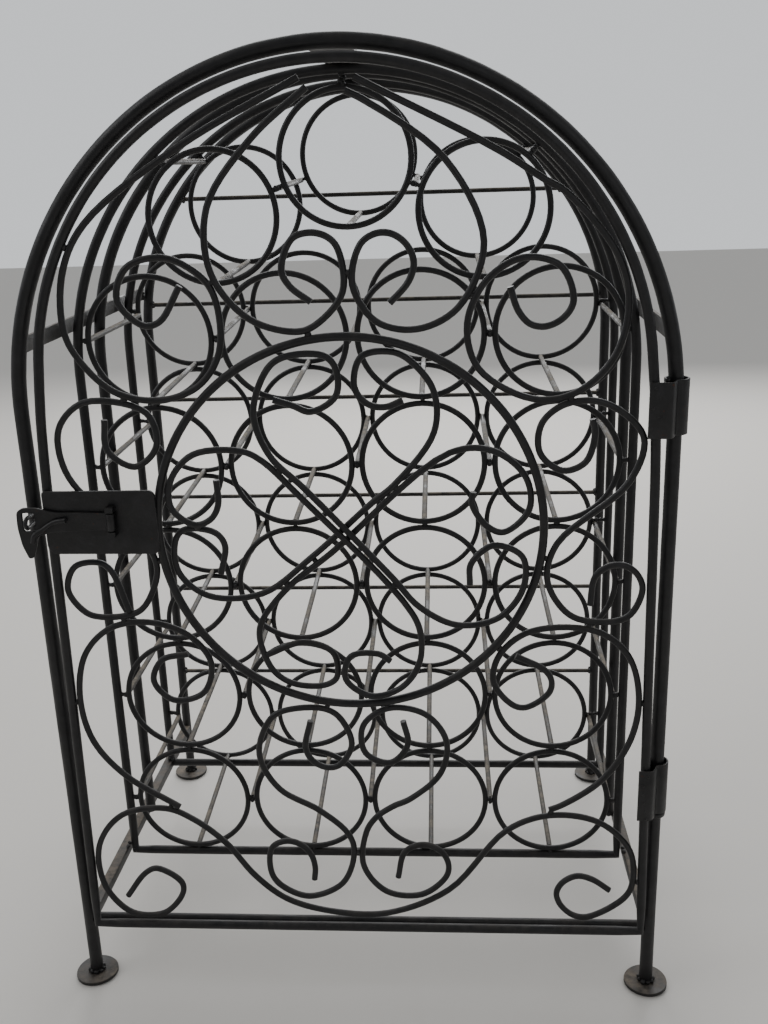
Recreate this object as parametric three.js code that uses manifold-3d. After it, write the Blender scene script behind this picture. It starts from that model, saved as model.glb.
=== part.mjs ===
// Arched wrought-iron wine rack with a scrolled door and a hasp. Millimetres, +Z up, door towards -Y.
import * as THREE from "three";
import { mergeVertices } from "three/addons/utils/BufferGeometryUtils.js";
import Module from "manifold-3d";

const wasm = await Module();
wasm.setup();

// Driving sizes. Depths are measured back from the plane of the front frame.
const GAP = 0.3; // clearance between two separate pieces that touch
const DEPTH_MID = 156; // from the front frame back to the middle of the rack
const FLOOR_GAP = 3.3; // legs start on top of the foot discs
const FOOT_R = 18;
const FOOT_H = 3;
const FRAME_R = 5.5; // front frame bar, 11 mm round
const FRAME_HALF = 234.8; // leg centreline from the middle
const FRAME_RISE = 243.3;
const DOOR_Y = -12;
const DOOR_BAR_R = 3.75;
const DOOR_MID = 1.2; // the door hangs this far right of the middle
const DOOR_BOTTOM = 61;
const DOOR_ARCH_R = 215;
const SCROLL_R = 2.4;
const RING_BIG = { x: 2.5, z: 408, r: 141, bar: 3.2 };
const BAR_Z = 57.6; // height of all bottom bars and rails
const ROD = 2.2; // half the side of a bar that stands in for a 3/16 in round rod
const BOTTLE_R = 49.8; // bottle ring centreline
const RING_STEPS = 12;
const ARCH_STEPS = 16;
const PITCH_X = 108;
const PITCH_Z = 104.9;
const ROW_Z = 113.5;
const ROWS = 5;
const COLUMNS = [-1.5, -0.5, 0.5, 1.5].map((k) => k * PITCH_X);
const TOP_ROW_Z = ROW_Z + (ROWS - 1) * PITCH_Z; // the arches and the three top rings sit over this row
const FRAME_SPRING = TOP_ROW_Z - 38.1;
const DOOR_ARCH_Z = TOP_ROW_Z - 20.6;
const SIDE_RING = { x: 104, z: TOP_ROW_Z + 92.9 };
const TOP_RING = { x: 0, z: TOP_ROW_Z + 132.9 };
// Arched frames behind the front one: depth, half width, centre height of the arch, bar radius.
// The rear ring grid (shift) is welded in a little left of and above the front one.
const PANEL_B = { y: 95, half: 222, z: TOP_ROW_Z - 26.6, r: 4, shift: { x: 0, z: 0 } };
const MIDDLE = { y: 153, half: 222.6, z: TOP_ROW_Z - 26.1, r: 4.75 };
const PANEL_E = { y: 249, half: 226.5, z: TOP_ROW_Z - 31.6, r: 4, shift: { x: -2.5, z: 3 } };
const REAR = { y: 324, half: 227.7, z: TOP_ROW_Z - 31.1, r: 4.75 };
const RAIL = 4.5; // half the side of the square bottom rails
const SIDE_RAIL_Z = TOP_ROW_Z + 11.9;
const CROSS_Z = [15.1, 9.1, 8.3, 7.8, -0.1, -4.4].map((up, k) => ROW_Z + k * PITCH_Z + up);
const HINGE_BORE = FRAME_R + 1.8;
const STRAP = 1.6;
const HINGES = { hinge_strap_upper: [474, 514], hinge_strap_lower: [168, 212] };
const HASP = { pinX: -170, pinY: -22.6, z: 419.5, back: -19.2, thick: 2.5 };

// Door scrolls as [x, z] points on a smooth curve along each rod, seen from the front.
const SCROLLS = {
  scroll1_L: [[-13, 710], [-51, 680], [-84, 637], [-84.5, 593.5], [-60.5, 562.5], [-29, 553],
    [-15, 557], [5, 579], [3, 608], [-4, 616], [-16, 619], [-28, 615], [-36, 595], [-31, 584],
    [-17, 573]],
  scroll1_R: [[12, 707], [24, 701], [76, 663], [101, 610], [83.5, 567], [55, 553], [27, 559],
    [12, 584], [18, 610], [28, 617], [39, 617], [49, 610], [54, 598], [50, 585], [37, 571]],
  scroll2_L: [[-18, 716], [-100, 676], [-169, 628.5], [-187.5, 597.5], [-192, 559], [-185, 539],
    [-161, 513.5], [-130, 506.5], [-100, 516], [-83, 540], [-82.5, 574.5], [-90.5, 590.5], [-116, 605],
    [-143, 599], [-151.5, 577], [-135, 559.5], [-123, 562], [-107, 586]],
  scroll2_R: [[18, 715], [110, 668], [140, 649], [155, 640], [189, 600.5], [198, 568.5], [190, 532],
    [164.5, 507], [134.5, 503], [97, 525], [89.5, 556], [102.5, 584.5], [127, 599], [152, 593],
    [161, 570], [155, 559], [143, 553], [132, 555], [124, 564], [118.5, 580]],
  scroll3_L: [[-170, 493], [-170, 470], [-151, 458], [-134, 473], [-139, 497.5], [-183, 506],
    [-204, 487], [-203, 455], [-181, 425], [-149, 398], [-143, 385], [-143.5, 372], [-154, 350],
    [-163, 343], [-189, 340], [-201, 344], [-212.5, 362], [-205, 381], [-186, 384], [-178, 378],
    [-167, 344]],
  scroll3_R: [[176, 488], [178, 478], [172, 457], [156, 451], [140, 464], [141, 485.5], [157.5, 499],
    [184.5, 499], [211.5, 475], [203, 442], [153, 396], [146.5, 368], [160, 343], [175, 335.5],
    [205, 338], [215.5, 360], [210.5, 373], [201, 379], [190, 378], [181, 370], [178, 348]],
  scroll4_L: [[-125, 309], [-146, 304], [-154, 286], [-140, 270], [-116, 276], [-108, 302],
    [-124, 325], [-153, 335.5], [-183, 331], [-205, 310], [-214, 274], [-208, 234], [-185, 202.5],
    [-143.5, 174]],
  scroll4_R: [[124, 307], [146, 295], [151, 286], [149, 276], [132, 264], [122, 266], [107.5, 285],
    [112, 308], [135, 327], [183, 327], [207, 307.5], [216.5, 273], [211.5, 236], [191, 201],
    [161, 178.5], [151, 174]],
  scroll5: [[-195, 88.5], [-178, 111], [-168, 115.5], [-149, 103], [-148.5, 92], [-166, 72],
    [-193, 72], [-213, 97], [-214, 137], [-192, 166], [-155.5, 172.5], [-133.5, 162.5], [-109, 141],
    [-86.5, 109.5], [-61.5, 87.5], [-25, 76], [20.5, 75], [71.5, 98.5], [118, 155], [152, 169],
    [190, 163], [215, 137], [217.5, 104], [210, 90.5], [183, 74], [171, 76], [161, 86], [158, 97],
    [163, 107], [174, 113], [186, 110], [200, 100]],
  scroll6_L: [[-38, 107], [-37, 119], [-40, 131], [-48, 140], [-59, 143], [-71, 137], [-73, 112.5],
    [-65, 100], [-43, 90.5], [-15, 103.5], [-4.5, 134], [-9, 151], [-31, 172], [-62, 191.5],
    [-76, 222], [-67, 251], [-56, 260], [-25, 263], [-12, 256], [-2.5, 232], [-13, 213], [-23, 211],
    [-34, 217], [-39, 229], [-34, 252]],
  scroll6_R: [[38, 252], [41, 231], [27, 215.5], [8, 224], [7, 248], [27, 263], [55, 258], [71, 235],
    [66, 206], [42, 183], [28, 176], [14, 165.5], [6, 152], [3, 120], [21, 96], [49, 93.5],
    [68.5, 109.5], [71.5, 121], [67, 133], [57, 140], [46, 140], [36, 133], [30.5, 110]],
  x_a: [[-47, 506], [-33, 501.5], [-21, 497], [-2.5, 508], [-2, 528], [-10, 536.5], [-37.5, 536],
    [-49.5, 528], [-61.5, 497], [-52.5, 466.5], [-27.5, 440], [33, 372], [53, 348], [81, 333.5],
    [111.5, 339.5], [129, 363], [128, 387.5], [107, 396], [91, 382], [90, 366]],
  x_b: [[-92, 448], [-92, 429], [-98, 418.5], [-110, 414], [-126.5, 426.5], [-125.5, 447.5],
    [-107.5, 467], [-72, 469], [-57.5, 461.5], [-32.5, 435.5], [40, 354], [52.5, 330], [51.5, 302],
    [37, 281.5], [14, 275], [-4.5, 289], [0, 308], [21, 310], [30, 304]],
  x_c: [[44, 503], [32, 498.5], [22, 499.5], [13.5, 506], [10, 516], [16, 534.5], [36.5, 537.5],
    [48.5, 532], [65.5, 510], [65.5, 479.5], [35.5, 440.5], [20, 428], [-26, 386.5], [-65, 357.5],
    [-106, 356], [-127, 375], [-127, 401], [-119, 409], [-97, 406], [-90.5, 396], [-95, 374]],
  x_d: [[93, 435], [92, 426], [103, 409], [115, 404.5], [133, 421.5], [130, 446.5], [107, 465.5],
    [76.5, 464.5], [-11.5, 389.5], [-44, 363.5], [-66, 336.5], [-69.5, 322], [-61, 294.5], [-46, 283],
    [-21.5, 281.5], [-12, 288], [-14, 309], [-36, 317.5], [-65, 307]],
};

const group = new THREE.Group();
const paint = new THREE.MeshStandardMaterial({ color: 0x26262a, roughness: 0.55, metalness: 0.6 });
const dusty = new THREE.MeshStandardMaterial({ color: 0x5c5650, roughness: 0.8, metalness: 0.3 });

function add(name, geometry, material = paint) {
  geometry.translate(0, -DEPTH_MID, 0);
  geometry.computeVertexNormals();
  const mesh = new THREE.Mesh(geometry, material.clone());
  mesh.name = name;
  group.add(mesh);
}

const V = (x, y, z) => new THREE.Vector3(x, y, z);
const round = (r, sides) =>
  Array.from({ length: sides }, (_, i) => {
    const a = (2 * Math.PI * i) / sides;
    return [r * Math.cos(a), r * Math.sin(a)];
  });
const box2 = (w, h) => [[w, -h], [w, h], [-w, h], [-w, -h]];

// Sweeps a section along straight stretches with mitred bends. The section's second axis keeps to ref.
function sweep(points, section, ref = V(0, 1, 0), closed = false) {
  const n = points.length;
  const m = section.length;
  const position = [];
  for (let i = 0; i < n; i++) {
    const before = points[closed ? (i + n - 1) % n : Math.max(i - 1, 0)];
    const after = points[closed ? (i + 1) % n : Math.min(i + 1, n - 1)];
    const a = points[i].clone().sub(before).normalize();
    const b = after.clone().sub(points[i]).normalize();
    if (!closed && i === 0) a.copy(b);
    if (!closed && i === n - 1) b.copy(a);
    const t = a.clone().add(b).normalize();
    const side = t.clone().cross(ref).normalize();
    const up = side.clone().cross(t).normalize();
    const mitre = 1 / Math.max(t.dot(a), 0.5);
    for (const [u, v] of section) {
      const p = points[i].clone().addScaledVector(side, u * mitre).addScaledVector(up, v);
      position.push(p.x, p.y, p.z);
    }
  }
  const index = [];
  const quad = (a, b, c, d) => index.push(a, b, c, a, c, d);
  const spans = closed ? n : n - 1;
  for (let i = 0; i < spans; i++) {
    for (let j = 0; j < m; j++) {
      const k = (j + 1) % m;
      const s = ((i + 1) % n) * m;
      quad(i * m + j, s + j, s + k, i * m + k);
    }
  }
  for (let j = 1; j < m - 1 && !closed; j++) {
    index.push(0, j, j + 1);
    const e = (n - 1) * m;
    index.push(e, e + j + 1, e + j);
  }
  const g = new THREE.BufferGeometry();
  g.setAttribute("position", new THREE.Float32BufferAttribute(position, 3));
  g.setIndex(index);
  return outward(g);
}

// Turns the faces round when they point inwards.
function outward(g) {
  const p = g.getAttribute("position");
  const idx = g.getIndex().array;
  let volume = 0;
  const [a, b, c] = [V(), V(), V()];
  for (let i = 0; i < idx.length; i += 3) {
    a.fromBufferAttribute(p, idx[i]);
    b.fromBufferAttribute(p, idx[i + 1]);
    c.fromBufferAttribute(p, idx[i + 2]);
    volume += a.dot(b.cross(c));
  }
  if (volume < 0) g.setIndex([...idx].reverse());
  return g;
}

function solid(g) {
  const plain = new THREE.BufferGeometry();
  const source = g.index ? g.toNonIndexed() : g;
  plain.setAttribute("position", source.getAttribute("position"));
  const merged = mergeVertices(plain, 1e-4);
  const triVerts = new Uint32Array(merged.index.array);
  const vertProperties = merged.attributes.position.array;
  return new wasm.Manifold(new wasm.Mesh({ numProp: 3, vertProperties, triVerts }));
}

function geometryOf(made) {
  const mesh = made.getMesh();
  const g = new THREE.BufferGeometry();
  const n = mesh.numProp;
  const v = new Float32Array(mesh.numVert * 3);
  for (let i = 0; i < mesh.numVert; i++) v.set(mesh.vertProperties.subarray(i * n, i * n + 3), i * 3);
  g.setAttribute("position", new THREE.BufferAttribute(v, 3));
  g.setIndex(new THREE.BufferAttribute(mesh.triVerts, 1));
  return g;
}

const join = (list) => list.map(solid).reduce((a, b) => a.add(b));
const boxAt = (x0, x1, y0, y1, z0, z1) =>
  new THREE.BoxGeometry(x1 - x0, y1 - y0, z1 - z0).translate((x0 + x1) / 2, (y0 + y1) / 2, (z0 + z1) / 2);

// Points on an arc in a plane of constant depth, from angle a to angle b in degrees.
function arc(cx, cz, rx, rz, a, b, steps, y) {
  return Array.from({ length: steps + 1 }, (_, i) => {
    const t = ((a + ((b - a) * i) / steps) * Math.PI) / 180;
    return V(cx + rx * Math.cos(t), y, cz + rz * Math.sin(t));
  });
}

// Front frame: two straight legs and a half ellipse in one bent bar.
function frontFrame() {
  const path = [
    V(FRAME_HALF, 0, FLOOR_GAP),
    ...arc(0, FRAME_SPRING, FRAME_HALF, FRAME_RISE, 0, 180, 24, 0),
    V(-FRAME_HALF, 0, FLOOR_GAP),
  ];
  add("front_frame", sweep(path, round(FRAME_R, 8)));
  const end = FRAME_HALF - FRAME_R - GAP;
  add("front_bottom_bar", sweep([V(-end, 0, BAR_Z), V(end, 0, BAR_Z)], round(4, 6), V(0, 0, 1)));
}

// An arched frame with straight uprights. With a bottom bar it is one closed loop.
function archedFrame(name, f, bottom, closed) {
  const path = [
    V(f.half, f.y, bottom),
    ...arc(0, f.z, f.half, f.half, 0, 180, ARCH_STEPS, f.y),
    V(-f.half, f.y, bottom),
  ];
  add(name, sweep(path, round(f.r, 6), V(0, 1, 0), closed));
}

function railX(y) {
  const front = FRAME_HALF - 0.8;
  return front + ((REAR.half - front) * y) / REAR.y;
}

function rails() {
  for (const [side, name] of [[-1, "left"], [1, "right"]]) {
    const y0 = FRAME_R + GAP;
    const y1 = REAR.y - REAR.r - GAP;
    const low = [V(side * railX(y0), y0, BAR_Z), V(side * railX(y1), y1, BAR_Z)];
    add("bottom_rail_" + name, sweep(low, box2(RAIL, RAIL), V(0, 0, 1)), dusty);
    const mid = [V(side * 229.2, y0, SIDE_RAIL_Z), V(side * 229.2, y1, SIDE_RAIL_Z)];
    add("side_rail_" + name, sweep(mid, box2(1.5, 6), V(0, 0, 1)), dusty);
  }
  const faces = [PANEL_E.y - PANEL_E.r, PANEL_E.y + PANEL_E.r];
  const end = Math.min(...faces.map(railX)) - RAIL - 2 * GAP;
  const bar = [V(-end, PANEL_E.y, BAR_Z), V(end, PANEL_E.y, BAR_Z)];
  add("rear_panel_bar", sweep(bar, round(PANEL_E.r, 6), V(0, 0, 1)));
}

function feet() {
  for (const [where, x, y] of [["front", FRAME_HALF, 0], ["rear", REAR.half, REAR.y]]) {
    for (const [side, name] of [[-1, "left"], [1, "right"]]) {
      const disc = new THREE.CylinderGeometry(FOOT_R, FOOT_R, FOOT_H, 16).rotateX(Math.PI / 2);
      add("foot_" + where + "_" + name, disc.translate(side * x, y, FOOT_H / 2), dusty);
    }
  }
}

function ridge() {
  const top = Math.max(...[PANEL_B, MIDDLE, PANEL_E, REAR].map((f) => f.z + f.half + f.r)) + GAP;
  add("ridge_strap", boxAt(-15, 15, FRAME_R + GAP, REAR.y + 8, top, top + 3));
}

// Half the clear width inside an arched frame at a height.
function clearHalf(f, z) {
  if (z <= f.z) return f.half - f.r;
  const chord = (f.half - f.r) * Math.cos(Math.PI / 2 / ARCH_STEPS);
  return Math.sqrt(chord ** 2 - (z - f.z) ** 2);
}

function crossRods() {
  CROSS_Z.forEach((z, i) => {
    const end = clearHalf(REAR, z + ROD) - GAP;
    const rod = [V(-end, REAR.y, z), V(end, REAR.y, z)];
    add("rear_cross_rod_" + (i + 1), sweep(rod, round(ROD, 6), V(0, 0, 1)));
  });
}

function bottleRing(x, z, y) {
  const half = 180 / RING_STEPS;
  const r = (2 * BOTTLE_R) / (1 + Math.cos((half * Math.PI) / 180));
  const path = arc(x, z, r, r, half, 360 - half, RING_STEPS - 1, y);
  return sweep(path, box2(ROD, ROD), V(0, 1, 0), true);
}

// A depth rod from just behind the front rings into the rear ones, which are shifted a little.
function depthRod(x, z, y0, shift = PANEL_E.shift) {
  const t = (y0 - PANEL_B.y) / (PANEL_E.y - PANEL_B.y);
  const start = V(x + shift.x * t, y0, z + shift.z * t);
  return sweep([start, V(x + shift.x, PANEL_E.y + 1, z + shift.z)], box2(ROD - 0.1, ROD - 0.1), V(0, 0, 1));
}

// A weld between two points of one frame's plane.
function weld(x0, z0, x1, z1, y) {
  return sweep([V(x0, y, z0), V(x1, y, z1)], box2(3, ROD - 0.2), V(0, 1, 0));
}

const RING_FLAT = BOTTLE_R + ROD - 0.9; // out to the middle of a ring's flat
const STRAIGHT = { x: 0, z: 0 };
const BEHIND_RING = PANEL_B.y + ROD + GAP;
const BEHIND_FRAME = PANEL_B.y + PANEL_B.r + GAP;

// One row of four rings with its welds. The rear row also carries the depth rods.
function ringRow(f, k, rods) {
  const low = ROW_Z + k * PITCH_Z;
  const { x: dx, z: dz } = f.shift;
  const z = low + dz;
  const parts = COLUMNS.map((x) => bottleRing(x + dx, z, f.y));
  const tie = PITCH_X / 2 - RING_FLAT + 1;
  for (const x of [-PITCH_X, 0, PITCH_X]) {
    parts.push(weld(x + dx - tie, z, x + dx + tie, z, f.y));
    if (rods) parts.push(depthRod(x, low, BEHIND_RING));
  }
  const wall = clearHalf(f, z + 3) - GAP;
  const edge = COLUMNS[3] + RING_FLAT;
  for (const side of [-1, 1]) {
    parts.push(weld(side * (edge - 1) + dx, z, side * wall, z, f.y));
    const outer = Math.min(edge + ROD + 0.1, clearHalf(MIDDLE, low + ROD) - GAP - ROD);
    if (rods) parts.push(depthRod(side * outer, low, BEHIND_FRAME, STRAIGHT));
  }
  for (const x of COLUMNS) {
    if (rods) parts.push(depthRod(x, low - BOTTLE_R + (k === 0 ? 1 : 0), BEHIND_RING));
  }
  return join(parts);
}

// Clear radius inside an arch whose centreline is drawn as short chords.
const archClear = (f) => (f.half - f.r) * Math.cos(Math.PI / 2 / ARCH_STEPS) - GAP;

// The three rings under the arch, joined to each other and up to the arch.
function topCluster(f, rods) {
  const { x: dx, z: dz } = f.shift;
  const parts = [bottleRing(dx, TOP_RING.z + dz, f.y)];
  const clear = archClear(f);
  for (const side of [-1, 1]) {
    const x = side * SIDE_RING.x;
    parts.push(bottleRing(x + dx, SIDE_RING.z + dz, f.y));
    // Tie between the side ring and the top ring.
    const mx = x / 2;
    const mz = (SIDE_RING.z + TOP_RING.z) / 2;
    const d = V(x, 0, SIDE_RING.z - TOP_RING.z);
    d.setLength(d.length() / 2 - BOTTLE_R);
    parts.push(weld(mx + dx - d.x, mz + dz - d.z, mx + dx + d.x, mz + dz + d.z, f.y));
    // Outer rod, which passes just inside the middle frame's arch, and its ties to the ring and the arch.
    const rod = V(x, 0, SIDE_RING.z - MIDDLE.z).setLength(archClear(MIDDLE) - 1.5 * ROD);
    rod.z += MIDDLE.z;
    const ring = rod.clone().sub(V(x + dx, 0, SIDE_RING.z + dz));
    if (ring.length() > BOTTLE_R + 1) {
      const from = rod.clone().sub(ring.clone().setLength(ring.length() - BOTTLE_R));
      parts.push(weld(from.x, from.z, rod.x, rod.z, f.y));
    }
    const top = V(rod.x, 0, rod.z - f.z).setLength(clear);
    parts.push(weld(rod.x, rod.z, top.x, f.z + top.z, f.y));
    if (!rods) continue;
    parts.push(depthRod(mx, mz, BEHIND_RING));
    parts.push(depthRod(x, SIDE_RING.z - BOTTLE_R, BEHIND_RING));
    parts.push(depthRod(rod.x, rod.z, BEHIND_FRAME, STRAIGHT));
  }
  parts.push(weld(dx, TOP_RING.z + dz + RING_FLAT - 1, dx, f.z + clear - GAP, f.y));
  if (rods) parts.push(depthRod(0, TOP_RING.z - BOTTLE_R, BEHIND_RING));
  return join(parts);
}

function bottleRings() {
  for (const [where, f, rods] of [["front", PANEL_B, false], ["rear", PANEL_E, true]]) {
    for (let k = 0; k < ROWS; k++) {
      add(where + "_rings_row_" + (k + 1), geometryOf(ringRow(f, k, rods)));
    }
    add(where + "_rings_top", geometryOf(topCluster(f, rods)));
  }
}

// Door outline: a bent bar with uprights that spread a little towards the floor.
function doorFrame() {
  const upright = [
    [225, DOOR_BOTTOM], [223, 200], [221.5, 300], [220.3, 400], [219.3, 455], [217.8, 490], [215.6, 518],
  ];
  const right = upright.map(([x, z]) => V(DOOR_MID + x, DOOR_Y, z));
  const left = upright.map(([x, z]) => V(DOOR_MID - x, DOOR_Y, z)).reverse();
  const over = arc(DOOR_MID, DOOR_ARCH_Z, DOOR_ARCH_R, DOOR_ARCH_R, 8, 172, 20, DOOR_Y);
  add("door_frame", sweep([...right, ...over, ...left], round(DOOR_BAR_R, 6), V(0, 1, 0), true));
  const b = RING_BIG;
  const ring = arc(b.x, b.z, b.r, b.r, 0, 350, 35, DOOR_Y);
  add("door_ring", sweep(ring, round(b.bar, 6), V(0, 1, 0), true));
}

// Follows a smooth curve through the points, with one straight stretch for each 22 degrees of bend.
function bend(points) {
  const curve = new THREE.CatmullRomCurve3(points, false, "centripetal");
  const fine = curve.getPoints(points.length * 10);
  const kept = [fine[0]];
  let turn = 0;
  for (let i = 1; i < fine.length - 1; i++) {
    const a = fine[i].clone().sub(fine[i - 1]);
    turn += a.angleTo(fine[i + 1].clone().sub(fine[i]));
    if (turn < (22 * Math.PI) / 180 && fine[i].distanceTo(kept[kept.length - 1]) < 50) continue;
    kept.push(fine[i]);
    turn = 0;
  }
  kept.push(fine[fine.length - 1]);
  return kept;
}

// Each scroll is one rod. The crossing rods sit half in front of and half behind the door's plane.
function scrolls() {
  for (const [name, points] of Object.entries(SCROLLS)) {
    const layer = { x_a: -1, x_b: -1, x_c: 1, x_d: 1 }[name] || 0;
    const y = DOOR_Y + layer * (SCROLL_R + GAP / 2);
    const full = layer ? "door_cross_rod_" + name[2] : "door_" + name;
    add(full, sweep(bend(points.map(([x, z]) => V(x, y, z))), round(SCROLL_R, 5)));
  }
}

// Extrudes an outline given in plan (x, y) between two heights.
function upright(points, z0, z1, holes = []) {
  const shape = new THREE.Shape(points.map(([x, y]) => new THREE.Vector2(x, y)));
  shape.holes = holes.map((h) => new THREE.Path(h.map(([x, y]) => new THREE.Vector2(x, y))));
  return new THREE.ExtrudeGeometry(shape, { depth: z1 - z0, bevelEnabled: false }).translate(0, 0, z0);
}

// Extrudes an outline given from the front (x, z) between two depths.
function plate(points, y0, y1, holes = []) {
  return upright(points, 0, y1 - y0, holes).rotateX(Math.PI / 2).translate(0, y1, 0);
}

const ringPoints = (cx, cy, r, n) => round(r, n).map(([x, y]) => [cx + x, cy + y]);

// Straps bent round the right leg and welded to the front of the door's upright.
function hinges() {
  const face = DOOR_Y - DOOR_BAR_R - GAP - STRAP / 2;
  for (const [name, [z0, z1]] of Object.entries(HINGES)) {
    const reach = name.endsWith("upper") ? 213 : 218;
    const mid = (z0 + z1) / 2;
    const plan = [V(FRAME_HALF + 1.5, -HINGE_BORE - 0.2, mid), V(229, face, mid), V(reach, face, mid)];
    const arm = solid(sweep(plan, box2(STRAP / 2, (z1 - z0) / 2), V(0, 0, 1)));
    const loop = solid(upright(ringPoints(FRAME_HALF, 0, HINGE_BORE + STRAP, 20), z0, z1));
    const hole = solid(upright(ringPoints(FRAME_HALF, 0, HINGE_BORE, 20), z0 - 1, z1 + 1));
    add(name, geometryOf(loop.add(arm).subtract(hole)));
  }
  const z1 = HINGES.hinge_strap_lower[0] - GAP;
  const bead = upright(ringPoints(FRAME_HALF, 0, FRAME_R + 3, 16), z1 - 4, z1, [
    ringPoints(FRAME_HALF, 0, FRAME_R + GAP + 0.1, 16).reverse(),
  ]);
  add("hinge_stop_collar", bead);
}

function latch() {
  const { pinX, pinY, z, back, thick } = HASP;
  const lock = [
    [-221, 398], [-216, 393.5], [-140, 393], [-137.4, 396], [-137.4, 439], [-140, 441.7], [-221, 441.7],
  ];
  add("lock_plate", plate(lock, -18.7, DOOR_Y - DOOR_BAR_R - GAP));
  // Two lugs and the pin that runs through both.
  const lugs = [z - 11.5, z + 7.2].map((low) => boxAt(pinX - 3.2, pinX + 3.2, pinY - 3, -19, low, low + 4.3));
  const pin = upright(ringPoints(pinX, pinY, 1.5, 10), z - 10, z + 10);
  add("hasp_pin", geometryOf(join([...lugs, pin])));
  // Hasp: flat tongue with a slotted head and a tail, rolled round the pin at its right end.
  const tongue = [
    [pinX, z - 6.6], [-215, z - 8], [-226, z - 11], [-231, z - 28], [-235, z - 29], [-239, z - 18],
    [-241, z - 4], [-240.5, z + 8], [-236, z + 11], [-226, z + 11], [-212, z + 7.5], [pinX, z + 6.6],
  ];
  const slot = [[-236.6, z - 7.2], [-226.8, z - 7.2], [-226.8, z + 7.2], [-236.6, z + 7.2]];
  const barrel = solid(upright(ringPoints(pinX, pinY, 3.3, 14), z - 6.6, z + 6.6));
  const bore = solid(upright(ringPoints(pinX, pinY, 1.9, 14), z - 9, z + 9));
  const flat = solid(plate(tongue, back - thick, back, [slot]));
  add("hasp", geometryOf(flat.add(barrel).subtract(bore)));
  // Finger pull: a bent rod on the front of the tongue.
  const front = back - thick - GAP - 2;
  const pull = [
    V(-203, front, z + 2), V(-212, front, z + 0.5), V(-221, front - 2, z - 5),
    V(-226, front - 4, z - 8), V(-228, front - 4, z - 14),
  ];
  add("hasp_pull", sweep(pull, round(2, 5), V(0, 1, 0)));
  // Staple on the left leg, reaching forward through the hasp's slot.
  const sx = -231.7;
  const root = -FRAME_R - GAP;
  const tip = pinY - 4.8;
  const eye = 3.4;
  const staple = [V(sx, root, z + eye), V(sx, tip, z + eye), V(sx, tip, z - eye), V(sx, root, z - eye)];
  add("hasp_staple", sweep(staple, round(1.6, 6), V(1, 0, 0)));
}

frontFrame();
archedFrame("front_panel_frame", PANEL_B, BAR_Z, true);
archedFrame("middle_frame", MIDDLE, BAR_Z + RAIL + GAP, false);
archedFrame("rear_panel_frame", PANEL_E, BAR_Z + RAIL + GAP, false);
archedFrame("rear_frame", REAR, FLOOR_GAP, false);
rails();
feet();
ridge();
crossRods();
bottleRings();
doorFrame();
scrolls();
hinges();
latch();

export default group;
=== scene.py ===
"""Looks of an arched wrought-iron wine rack with a scrolled door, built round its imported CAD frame."""

import math
import random

import bmesh
import bpy
from mathutils import Matrix, Vector


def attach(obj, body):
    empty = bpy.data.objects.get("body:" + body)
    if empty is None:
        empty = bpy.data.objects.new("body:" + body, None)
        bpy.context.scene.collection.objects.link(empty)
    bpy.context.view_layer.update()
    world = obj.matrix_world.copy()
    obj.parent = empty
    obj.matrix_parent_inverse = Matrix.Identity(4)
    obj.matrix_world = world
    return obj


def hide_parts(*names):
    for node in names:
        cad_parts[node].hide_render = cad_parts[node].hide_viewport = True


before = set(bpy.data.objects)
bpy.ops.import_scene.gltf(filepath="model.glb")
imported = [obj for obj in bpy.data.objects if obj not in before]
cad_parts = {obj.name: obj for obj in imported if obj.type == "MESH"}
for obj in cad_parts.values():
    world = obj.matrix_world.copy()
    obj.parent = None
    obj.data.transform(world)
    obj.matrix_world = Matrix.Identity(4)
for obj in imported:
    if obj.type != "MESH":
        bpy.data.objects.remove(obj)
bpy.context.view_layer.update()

# ---------------------------------------------------------------- sizes, in millimetres

DEPTH_MID = 156  # the row frame's middle lies this far behind the front frame
FRAME = {"half": 234.8, "spring": 495, "rise": 243.3, "r": 5.4}
DOOR = {"y": -12, "mid": 1.2, "arch_r": 215, "arch_z": 512.5, "r": 3.68}
BIG_RING = {"x": 2.5, "z": 408, "r": 141, "bar": 3.15}
SMALL_ROD = 2.45
BAR_Z = 57.6
BOTTLE_R = 49.8
PITCH_X = 108
PITCH_Z = 104.9
ROW_Z = 113.5
ROWS = 5
COLUMNS = [k * PITCH_X for k in (-1.5, -0.5, 0.5, 1.5)]
SIDE_RING = (104, 626)
TOP_RING = (0, 666)
# Arched frames behind the front one: depth, half width, centre height of the arch, bar radius.
PANEL_B = {"y": 95, "half": 222, "z": 506.5, "r": 3.9, "shift": (0, 0)}
MIDDLE = {"y": 153, "half": 222.6, "z": 507, "r": 4.65}
PANEL_E = {"y": 249, "half": 226.5, "z": 501.5, "r": 3.9, "shift": (-2.5, 3)}
REAR = {"y": 324, "half": 227.7, "z": 502, "r": 4.65}
CROSS_Z = [128.6, 227.5, 331.6, 436, 533, 633.6]
HINGES = {"hinge_strap_upper": (474, 514), "hinge_strap_lower": (168, 212)}
HASP = {"x": -170, "y": -22.6, "z": 419.5}

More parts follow.
